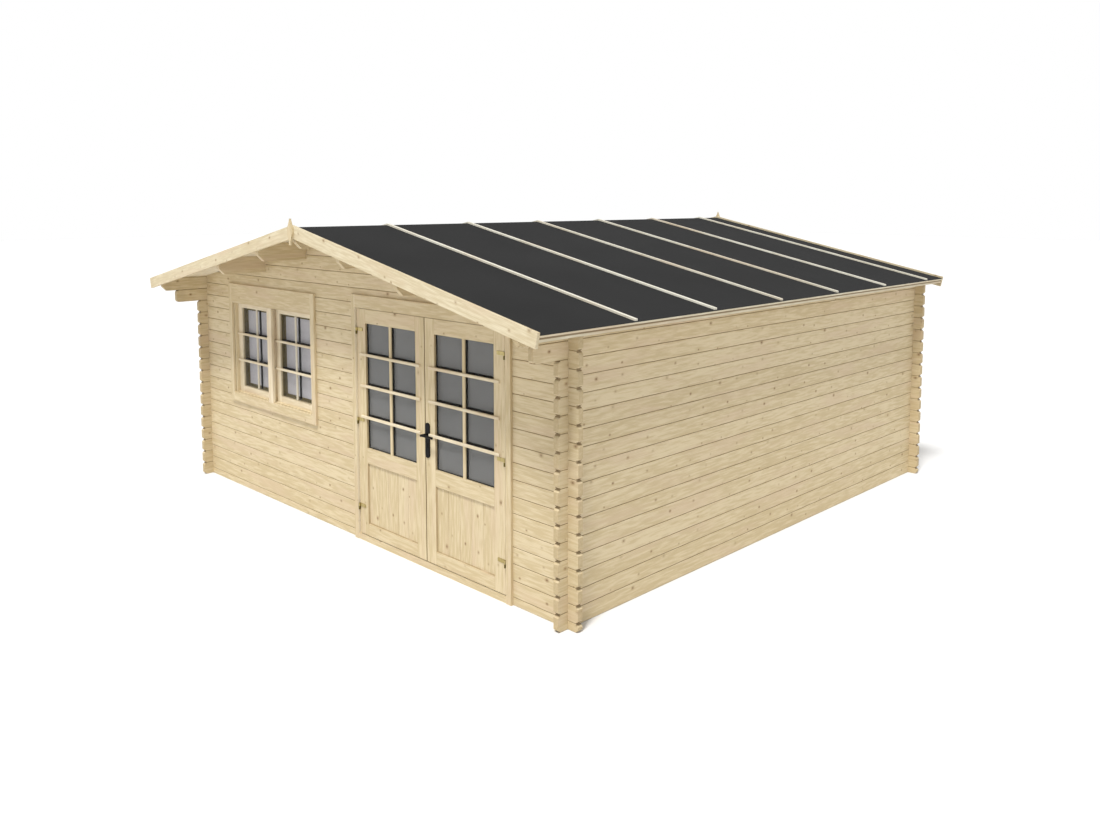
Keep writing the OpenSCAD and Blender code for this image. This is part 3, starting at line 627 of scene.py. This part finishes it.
# Door leaves
# Two framed leaves: stiles and rails, an upper light with bars on its face, a boarded panel below.
# Slim beads hold the panel, dark spacers show between the panes, and rubber seals fill the gaps between the
# leaves and under them. The beads' dark wood is painted shade along the panel's edges, the near black
# spacers sit a little high to stand in also for the shade above the bars, and the brown seal between the
# leaves also stands in for the shade in that gap.
door_inner_glass = grey_pane("door_inner_pane", (0.27, 0.268, 0.260, 1), (0.31, 0.308, 0.300, 1), 0.62)
seal_dark = spacer_finish("dark_rubber", (0.036, 0.022, 0.008, 1), (0.052, 0.034, 0.014, 1))
leaf_board, leaf_start = 0.125, 0.03
panel_boards, panel_joint, panel_groove = 5, 0.002, 0.0025
face_bar_width, face_bar_depth, face_bar_reach = 0.021, 0.013, 0.060
glass_bar_width, glass_bar_depth = 0.028, 0.010
spacer_room, spacer_lining, spacer_step = 0.010, 0.003, 0.0005
rail_spacer, rail_spacer_shade_rise, post_spacer = 0.032, 0.003, 0.040
brush_inset, brush_behind = 0.002, 0.011
brush_depth, brush_toe, brush_drop, brush_heel = 0.009, 0.007, 0.0032, 0.0026
brush = [(0, 0), (brush_depth, 0), (brush_depth, brush_heel), (brush_toe, brush_drop), (0, brush_drop)]
panel_bead = [(0, 0), (0.006, 0), (0.006, 0.0015), (0.004, 0.004), (0.0015, 0.005), (0, 0.005)]
# Painted shade: the panel beads are dark wood, standing in for the shade along the panel's recessed edges
bead_shade_pale, bead_shade_deep = (0.400, 0.310, 0.180, 1), (0.320, 0.240, 0.130, 1)
bead_shade_wood = spruce("panel_bead_spruce", 2, bar_band, knot_share=0.05, pale=bead_shade_pale, deep=bead_shade_deep)
for side in ("left", "right"):
    body = side + "_door"
    low, high = corners(side + "_door_frame")
    pane_low, pane_high = corners(side + "_door_glass")
    panel_low, panel_high = corners(side + "_door_panel")
    finish_with(outer_glass, side + "_door_glass")
    x0, x1, z0, z1 = pane_low[0], pane_high[0], pane_low[2], pane_high[2]
    middle, half = (x0 + x1) / 2, (x1 - x0) / 2
    stiles = upright_outside(middle, half + touch)
    # Painted shade: a dark line along the edges of the stiles, where they meet rails and panes
    finish_with(spruce("door_leaf_spruce_" + side, 0, leaf_board, first_joint=low[2] + leaf_start,
                       upright=stiles, seam=GROWTH_LINE, knot_share=0.55),
                side + "_door_frame")
    plank = (x1 - x0) / panel_boards
    panel_wood = spruce("door_panel_spruce_" + side, 2, plank, first_joint=x0, joint=panel_joint)
    row = board_row(x1 - x0, plank, panel_high[1] - panel_low[1], panel_groove)
    foot, top = (x0, panel_high[1], panel_low[2]), (x0, panel_high[1], panel_high[2])
    build_piece("door_planks_" + side, [straight(row, foot, top, (1, 0, 0), (0, -1, 0))],
                panel_wood, body, [side + "_door_panel"])
    build_piece("door_panel_bead_" + side,
                [rectangle_frame(x0, x1, panel_low[2], panel_high[2], panel_bead, panel_low[1] - touch)],
                bead_shade_wood, body)
    heights = z0 + (z1 - z0) * np.array([1, 2, 3]) / 4
    build_piece("door_bars_level_" + side,
                [level_bar(x0 - face_bar_reach, x1 + face_bar_reach, low[1], height,
                           face_bar_width, face_bar_depth) for height in heights],
                bar_wood_level, body)
    build_piece("door_bar_upright_" + side,
                [upright_bar(middle, pane_low[1] - touch, z0, z1, glass_bar_width, glass_bar_depth)],
                bar_wood_upright, body)
    back = pane_high[1] + glass_gap + spacer_room
    lining = [(0, 0), (spacer_lining, 0), (spacer_lining, spacer_room), (0, spacer_room)]
    spacers = [rectangle_frame(x0, x1, z0, z1, lining, back)]
    inset = spacer_lining + touch
    # Partly painted shade: the near black spacers sit a little high to stand in also for the shade above the
    # bars
    spacers += [level_bar(x0 + inset, x1 - inset, back, height + rail_spacer_shade_rise, rail_spacer, spacer_room)
                for height in heights]
    spacers += [upright_bar(middle, back, z0 + inset, z1 - inset, post_spacer, spacer_room - spacer_step)]
    build_piece("door_spacers_" + side, spacers, spacer_and_shade_dark, body)
    build_piece("door_inner_pane_" + side, [pane_sheet(x0, x1, back + pane_gap, z0, z1, inner_pane)],
                door_inner_glass, body)
    brush_start = (low[0] + brush_inset, low[1] + brush_behind, low[2] - touch)
    brush_end = (high[0] - brush_inset, low[1] + brush_behind, low[2] - touch)
    build_piece("door_foot_seal_" + side, [straight(brush, brush_start, brush_end, (0, -1, 0), (0, 0, -1))],
                seal_dark, body)
seal_gap, seal_behind, seal_ease = 0.0014, 0.008, 0.0005
lip, lip_back, lip_front = 0.0025, 0.0082, 0.0095
seal_start = corners("left_door_frame")[1][0] + touch
seal_width = low[0] - seal_gap - seal_start
seal_back = low[1] + seal_behind
# Partly painted shade: the brown rubber seal between the leaves also stands in for the shade in their gap
seal_and_shade_brown = spacer_finish("brown_rubber_and_shade", (0.115, 0.075, 0.030, 1), (0.155, 0.105, 0.046, 1))
seal_outline = [(0, 0), (seal_width, 0), (seal_width, lip_back), (seal_width - seal_ease, lip_front),
                (seal_ease - lip, lip_front), (-lip, lip_back + seal_ease), (-lip, lip_back), (0, lip_back)]
build_piece("door_meeting_seal",
            [straight(seal_outline, (seal_start, seal_back, low[2]), (seal_start, seal_back, high[2]),
                      (1, 0, 0), (0, -1, 0))],
            seal_and_shade_brown, "left_door")


# Hinges and handle
# Three satin brass hinges to each leaf, on pins of aged brass, and a black lever handle on long plates on the
# right leaf, with a lock cylinder under the lever and a screw at each end of a plate.
# The metal has a faint brushed streak and small changes of gloss from handling.
def metal_finish(name, dull, bright, metallic, rough, shine=0.5):
    """Satin metal: the colour drifts along slow streaks; a fine grain adds to rough, the least roughness."""
    made, shader, (x, y, z) = blank_material(name)
    drift = x.noise(x * 60.0, y * 60.0, z * 9.0, 3.0)
    grain = x.noise(x * 900.0, y * 900.0, z * 120.0)
    feed(shader, Base_Color=drift.mix(dull, bright), Roughness=rough + 0.18 * grain)
    shader.inputs["Metallic"].default_value = metallic
    shader.inputs["Specular IOR Level"].default_value = shine
    return made


finish_with(metal_finish("satin_brass", (0.25, 0.19, 0.06, 1), (0.70, 0.58, 0.28, 1), 1.0, 0.24),
            "left_door_hinges", "right_door_hinges")
finish_with(metal_finish("aged_brass", (0.090, 0.066, 0.016, 1), (0.210, 0.160, 0.055, 1), 1.0, 0.24),
            "door_hinge_pins")
lacquer_deep, lacquer_worn = (0.004, 0.004, 0.004, 1), (0.009, 0.008, 0.009, 1)
black_lacquer = metal_finish("black_lacquer", lacquer_deep, lacquer_worn, 0.0, 0.38, shine=0.1)
finish_with(black_lacquer, "door_handle_plates", "door_levers")


def circle(radius, sides, first=0.0, last=2 * np.pi):
    """Points of a circle, or of its part between two angles; a full circle doesn't repeat its first point."""
    turn = np.linspace(first, last, sides, endpoint=last - first < 2 * np.pi)
    return np.stack([radius * np.cos(turn), radius * np.sin(turn)], -1)


def domed_head(x, y, z, radius, rise):
    """A screw head on a plate at y: rings shrink by a cosine while they climb by a sine, as far as rise."""
    climb = np.radians([0, 25, 50, 70, 84])
    places = [(x, y + rise * np.sin(angle), z) for angle in climb]
    level = [(np.cos(angle), 0, 0) for angle in climb]
    upright = [(0, 0, np.cos(angle)) for angle in climb]
    return carry(circle(radius, 14), places, level, upright)


plate_low, plate_high = corners("door_handle_plates")
plate_mid = (plate_low[0] + plate_high[0]) / 2
screw_inset, screw_radius, screw_rise = 0.017, 0.0045, 0.0016
lock_height, lock_rise, barrel_radius, tail_half, tail_drop = 0.920, 0.0030, 0.0085, 0.005, 0.0245
barrel = circle(barrel_radius, 21, np.radians(-54), np.radians(234))
lock_outline = np.concatenate([barrel, [(-tail_half, -tail_drop), (tail_half, -tail_drop)]])
screws, locks = [], []
for face, out in ((plate_low[1], -1), (plate_high[1], 1)):
    for height in (plate_low[2] + screw_inset, plate_high[2] - screw_inset):
        screws.append(domed_head(plate_mid, face + out * touch, height, screw_radius, out * screw_rise))
    lock_foot = (plate_mid, face + out * touch, lock_height)
    lock_face = (plate_mid, face + out * lock_rise, lock_height)
    locks.append(straight(lock_outline, lock_foot, lock_face, (1, 0, 0), (0, 0, 1)))
build_piece("handle_plate_screws", screws, black_lacquer, "right_door")
build_piece("lock_cylinder", locks, black_lacquer, "right_door")


# Studio
# A wide pale floor under an even sky that is white near the horizon and dimmer overhead, with one soft
# lamp high on the front right. The camera stands off the front right corner, as high as the roof.
reach = 60.0
floor_mesh = bpy.data.meshes.new("studio_floor")
floor_corners = [(-reach, -reach, 0), (reach, -reach, 0), (reach, reach, 0), (-reach, reach, 0)]
floor_mesh.from_pydata(floor_corners, [], [(0, 1, 2, 3)])
studio_floor = bpy.data.objects.new("studio_floor", floor_mesh)
bpy.context.collection.objects.link(studio_floor)
paper, paper_shader, (x, y, z) = blank_material("white_paper")
feed(paper_shader, Roughness=0.9 + 0.05 * x.noise(x * 3.0, y * 3.0, z))
paper_shader.inputs["Base Color"].default_value = (0.78, 0.78, 0.78, 1)
floor_mesh.materials.append(paper)

world = bpy.data.worlds.new("studio_sky")
bpy.context.scene.world = world
world.use_nodes = True
background = world.node_tree.nodes["Background"]
heading = Wire(world.node_tree, world.node_tree.nodes.new("ShaderNodeTexCoord").outputs["Generated"])
rise = heading.node("ShaderNodeSeparateXYZ", {0: heading}).other(2)
background.inputs["Color"].default_value = (1.0, 1.0, 1.0, 1)
white_below, dim_above, dimming = 0.26, 0.6, 0.5
feed(background, Strength=1.0 - dimming * rise.limited(white_below, dim_above))

lamp = bpy.data.lights.new("soft_key", "SUN")
lamp.energy = 3.05
lamp.angle = 0.2
lamp_stand = bpy.data.objects.new("soft_key", lamp)
lamp_heading = Vector((-0.18, 0.446, -0.98))
lamp_stand.rotation_euler = lamp_heading.to_track_quat("-Z", "Y").to_euler()
bpy.context.collection.objects.link(lamp_stand)

photo_width = 1100.0
focal_pixels = 943.9
shift_pixels = -120.0
camera_yaw, camera_pitch = 44.929, 5.604
camera = bpy.data.cameras.new("camera")
camera.sensor_width = 36.0
camera.lens = camera.sensor_width * focal_pixels / photo_width
camera.shift_y = shift_pixels / photo_width
camera.clip_end = 200.0
camera_stand = bpy.data.objects.new("camera", camera)
camera_stand.location = (6.310, -6.476, 2.650)
camera_stand.rotation_euler = Euler((np.radians(90 - camera_pitch), 0, np.radians(camera_yaw)))
bpy.context.collection.objects.link(camera_stand)
bpy.context.scene.camera = camera_stand
bpy.context.scene.view_settings.view_transform = "Standard"
